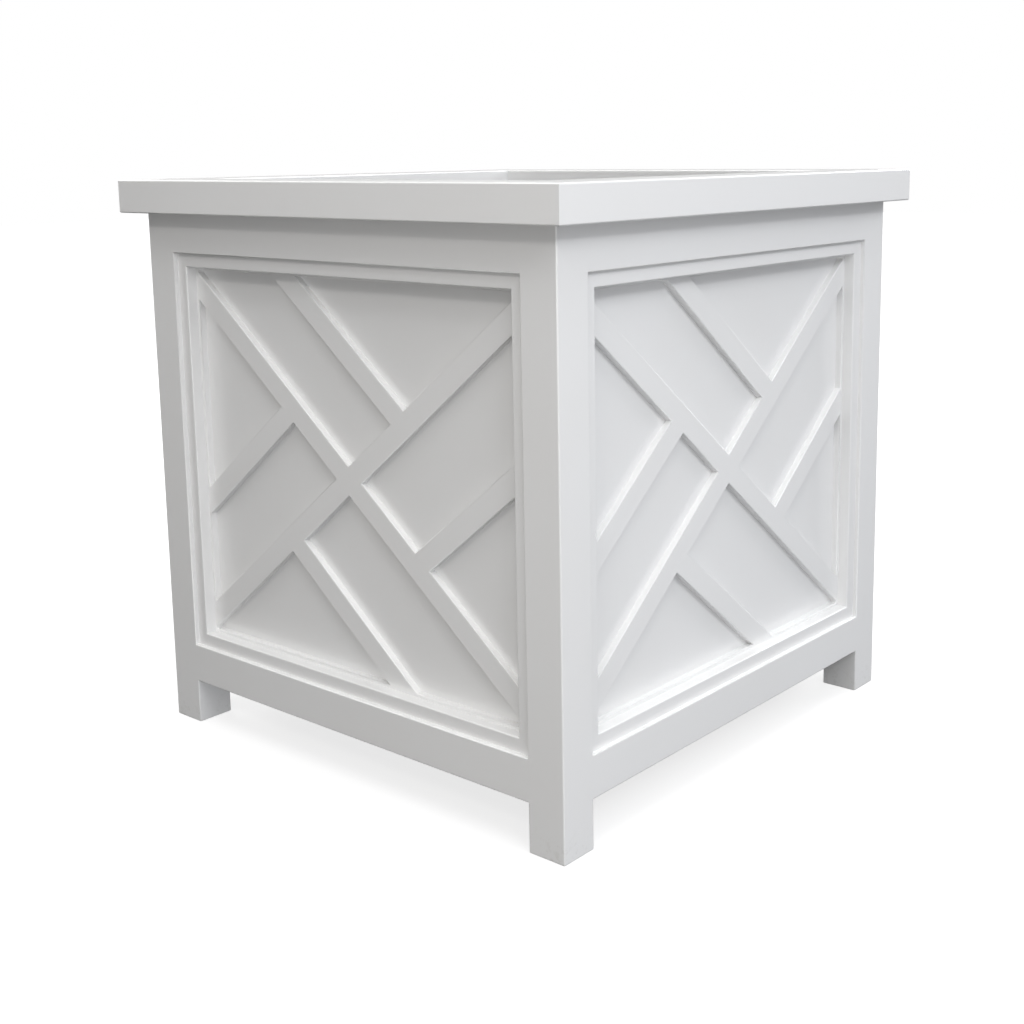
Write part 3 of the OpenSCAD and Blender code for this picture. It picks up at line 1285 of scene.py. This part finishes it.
@dataclass
class Studio:
    """Camera, pale floor, lamps and the soft light all round."""

    camera_at: tuple[float, float, float] = (1.29613, -1.47396, 0.77887)
    camera_turn: tuple[float, float, float] = (80.2009, 0.7189, 39.7141)
    lens: float = 50.1665
    shift: tuple[float, float] = (-0.0508, -0.1129)
    film: float = 36
    reach: float = 14.0
    matt: tuple[Colour, Colour] = ((0.30, 0.30, 0.30, 1), (0.31, 0.31, 0.31, 1))
    glow: tuple[Colour, Colour] = ((0.74, 0.74, 0.74, 1), (1, 1, 1, 1))
    fade: tuple[float, float] = (0.8, 2.6)
    above: float = 0.60
    right: float = 0.41
    warm: Colour = (1.02, 1.0, 0.975, 1.0)
    cool: Colour = (0.965, 0.99, 1.045, 1.0)
    lamps: tuple[Lamp, ...] = (
        Lamp("overhead", (0.0, -0.3, 3.0), (2.6, 2.6), 47),
        Lamp("left_strip", (0.7, -3.0, 2.8), (2.4, 0.4), 21, (1.03, 1.0, 0.96)),
        Lamp("right_strip", (3.0, -0.7, 2.5), (2.4, 0.4), 29, (0.985, 0.995, 1.02)),
        Lamp("right_upper", (2.6, -0.7, 2.95), (2.4, 0.6), 16),
        Lamp("low_front", (1.3, -2.2, 0.5), (1.6, 0.6), 11, (1.02, 1.0, 0.97)),
        Lamp("back_key", (0.6, 3.4, 1.8), (2.4, 1.2), 76, (0.99, 0.995, 1.01)),
        Lamp("back_left", (-3.4, 0.5, 1.7), (2.0, 1.2), 44, (1.01, 1.0, 0.99)),
    )

    def build(self) -> None:
        """Sets the whole studio up."""
        self.camera()
        self.floor()
        self.surround()
        for lamp in self.lamps:
            lamp.hang()
        bpy.context.scene.view_settings.view_transform = "Standard"

    def camera(self) -> None:
        """Makes the camera."""
        data = bpy.data.cameras.new("camera")
        data.lens = self.lens
        data.sensor_width = self.film
        data.shift_x, data.shift_y = self.shift
        camera = bpy.data.objects.new("camera", data)
        camera.location = self.camera_at
        camera.rotation_euler = Euler([math.radians(a) for a in self.camera_turn])
        bpy.context.scene.collection.objects.link(camera)
        bpy.context.scene.camera = camera

    def floor(self) -> None:
        """Lays a pale floor that glows a little, so that its shadows stay light."""
        mesh = bpy.data.meshes.new("floor")
        corners = [(x * self.reach, y * self.reach, 0) for x, y in ((-1, -1), (1, -1), (1, 1), (-1, 1))]
        mesh.from_pydata(corners, [], [(0, 1, 2, 3)])
        floor = bpy.data.objects.new("floor", mesh)
        bpy.context.scene.collection.objects.link(floor)
        floor.visible_diffuse = False
        floor.visible_glossy = False
        desk = Desk(bpy.data.materials.new("pale_floor"))
        at = desk.place()
        shade = desk.blend(desk.noise(at, 3, 3, 0.5), *self.matt)
        x, y = (desk.node("ShaderNodeSeparateXYZ", None, {"Vector": at}, output=a) for a in (0, 1))
        far = ((x**2 + y**2) ** 0.5).clear_of(*self.fade)
        glow = desk.blend(far, *self.glow)
        mesh.materials.append(
            desk.finish(Base_Color=shade, Roughness=0.9, Emission_Color=glow, Emission_Strength=1.0)
        )

    def surround(self) -> None:
        """Soft light from all round, stronger from above and from the right, on a white ground."""
        world = bpy.data.worlds.new("surround")
        bpy.context.scene.world = world
        desk = Desk(world)
        way = desk.node("ShaderNodeTexCoord", output="Generated")
        x, z = (desk.node("ShaderNodeSeparateXYZ", None, {"Vector": way}, output=a) for a in (0, 2))
        rightward = x.clear_of(-0.4, 1.0)
        light = z.clear_of(-0.2, 1.0) * self.above + rightward * self.right
        seen = desk.node("ShaderNodeLightPath", output="Is Camera Ray")
        strength = light * (1 - seen) + seen
        tint = desk.blend(seen, desk.blend(rightward, self.warm, self.cool), (1, 1, 1, 1))
        ground = desk.node("ShaderNodeBackground", None, {"Color": tint, "Strength": strength})
        desk.node_output(ground, "ShaderNodeOutputWorld")


def main() -> None:
    """Builds the planter's parts in order and sets up the studio."""
    logging.basicConfig(level=logging.INFO, format="%(message)s")
    Studio().build()
    shop = PaintShop()
    sizes = Sizes()
    for part in (
        Carcass(sizes, shop), Mouldings(sizes, shop), Fretwork(sizes, shop), Cap(shop),
        FloorBoards(shop), Liner(shop), Screws(sizes, shop),
    ):
        log.info("building %s", type(part).__name__)
        part.build()


if __name__ == "__main__":
    main()
